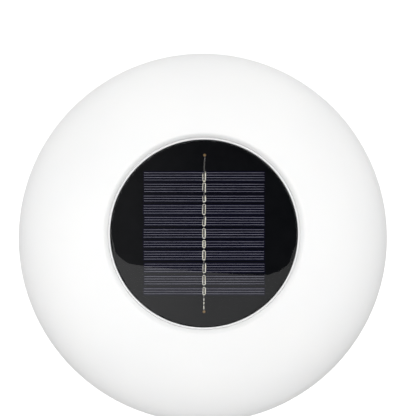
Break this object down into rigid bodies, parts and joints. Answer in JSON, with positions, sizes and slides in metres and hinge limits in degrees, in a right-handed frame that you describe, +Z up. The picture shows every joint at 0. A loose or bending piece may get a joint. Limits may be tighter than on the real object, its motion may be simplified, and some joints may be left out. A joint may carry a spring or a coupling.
{
  "type": "floating solar pool light",
  "caption": "Floating pool light: a white hollow globe with a flat base and a twist-lock cap that holds a round black solar panel above and a lamp below.",
  "frame": {"origin": "centre of the flat base that the globe stands on, at the bottom of the bounding box", "axes": "+Z up through the middle of the solar panel; +X along the solar cells' strips; +Y towards the end of the panel where the first cell strip is; the push button is on the -Y side, under the cap"},
  "size_m": [0.35, 0.35, 0.3276],
  "materials": {
    "globe_polyethylene": "translucent white rotomoulded polyethylene, fine satin texture",
    "white_abs": "gloss",
    "panel_black": "black solder mask under clear resin",
    "cell_silicon": "dark blue-black silicon with fine silver finger lines",
    "tinned_copper": "tinned",
    "solder": "bright solder",
    "clear_resin": "polished clear epoxy",
    "silicone": "matte silicone",
    "ballast_iron": "sandblasted, black coated",
    "stainless": "satin",
    "black_abs": "fine moulded texture",
    "board_green": "solder mask",
    "component_black": "matte",
    "battery_wrap": "gloss shrink wrap",
    "lamp_board": "white solder mask",
    "led_phosphor": "yellow phosphor in a white case",
    "frosted_lens": "frosted",
    "button_rubber": "matte",
    "wire_red": "silicone insulation",
    "wire_black": "silicone insulation"
  },
  "bodies": {
    "globe": {"globe_shell": "globe_polyethylene", "neck_ring": "white_abs", "ballast_disc": "ballast_iron", "ballast_bolt": "stainless", "sealing_washer": "silicone", "ballast_washer": "stainless", "ballast_nut": "stainless"},
    "seal": {"cap_seal": "silicone"},
    "cap": {"cap_housing": "white_abs", "panel_board": "panel_black", "solar_cell_01": "cell_silicon", "solar_cell_02": "cell_silicon", "solar_cell_03": "cell_silicon", "solar_cell_04": "cell_silicon", "solar_cell_05": "cell_silicon", "solar_cell_06": "cell_silicon", "solar_cell_07": "cell_silicon", "solar_cell_08": "cell_silicon", "solar_cell_09": "cell_silicon", "solar_cell_10": "cell_silicon", "solar_cell_11": "cell_silicon", "cell_ribbon": "tinned_copper", "solder_joint_top": "solder", "solder_joint_bottom": "solder", "panel_resin": "clear_resin", "module_cover": "black_abs", "cover_gasket": "silicone", "cover_screw_1": "stainless", "cover_screw_2": "stainless", "cover_screw_3": "stainless", "cover_screw_4": "stainless", "battery_holder": "black_abs", "battery_cell_1": "battery_wrap", "battery_cell_2": "battery_wrap", "battery_spring_1": "stainless", "battery_spring_2": "stainless", "battery_contact": "tinned_copper", "control_board": "board_green", "board_screw_1": "stainless", "board_screw_2": "stainless", "charge_chip": "component_black", "inductor": "component_black", "capacitor": "tinned_copper", "power_switch": "component_black", "led_board": "lamp_board", "led_1": "led_phosphor", "led_2": "led_phosphor", "led_3": "led_phosphor", "led_4": "led_phosphor", "led_lens": "frosted_lens", "lens_screw_1": "stainless", "lens_screw_2": "stainless", "lens_screw_3": "stainless", "panel_lead_red": "wire_red", "panel_lead_black": "wire_black", "battery_lead": "wire_red", "lamp_lead": "wire_black"},
    "button": {"power_button": "button_rubber"}
  },
  "joints": [
    {"name": "cap_rise", "type": "slide", "parent": "globe", "child": "seal", "axis": [0, 0, 1], "range_m": [0, 0.003]},
    {"name": "cap_turn", "type": "hinge", "parent": "seal", "child": "cap", "pos_m": [0, 0, 0.30671], "axis": [0, 0, 1], "range_deg": [0, 60]},
    {"name": "button_press", "type": "slide", "parent": "cap", "child": "button", "axis": [0, 0, 1], "range_m": [0, 0.0015], "stiffness_N_per_m": 1500, "springref_m": -0.0005}
  ],
  "couplings": [
    {"joint": "cap_rise", "follows": "cap_turn", "m_per_rad": 0.0028648}
  ]
}
